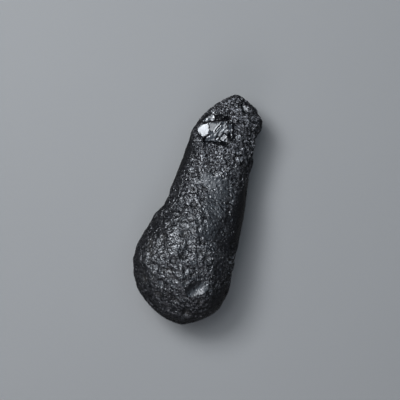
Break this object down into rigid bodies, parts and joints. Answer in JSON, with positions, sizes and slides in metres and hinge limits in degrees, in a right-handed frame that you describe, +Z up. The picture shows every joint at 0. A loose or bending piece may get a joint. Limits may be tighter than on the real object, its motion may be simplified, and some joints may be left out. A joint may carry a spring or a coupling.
{
  "type": "tektite",
  "caption": "Teardrop lump of black natural glass with a pitted skin and a fresh chip near its narrow end, lying on its side.",
  "frame": {"origin": "on the resting surface, under the middle of the stone's bounding box", "axes": "+Y along the stone from its fat end to its narrow, broken end; +Z up, away from the resting face; +X to the right of the narrow end seen from above"},
  "size_m": [0.0274, 0.0648, 0.0231],
  "materials": {
    "tektite_glass": "satin"
  },
  "bodies": {
    "root": {"tektite": "tektite_glass"}
  },
  "joints": []
}
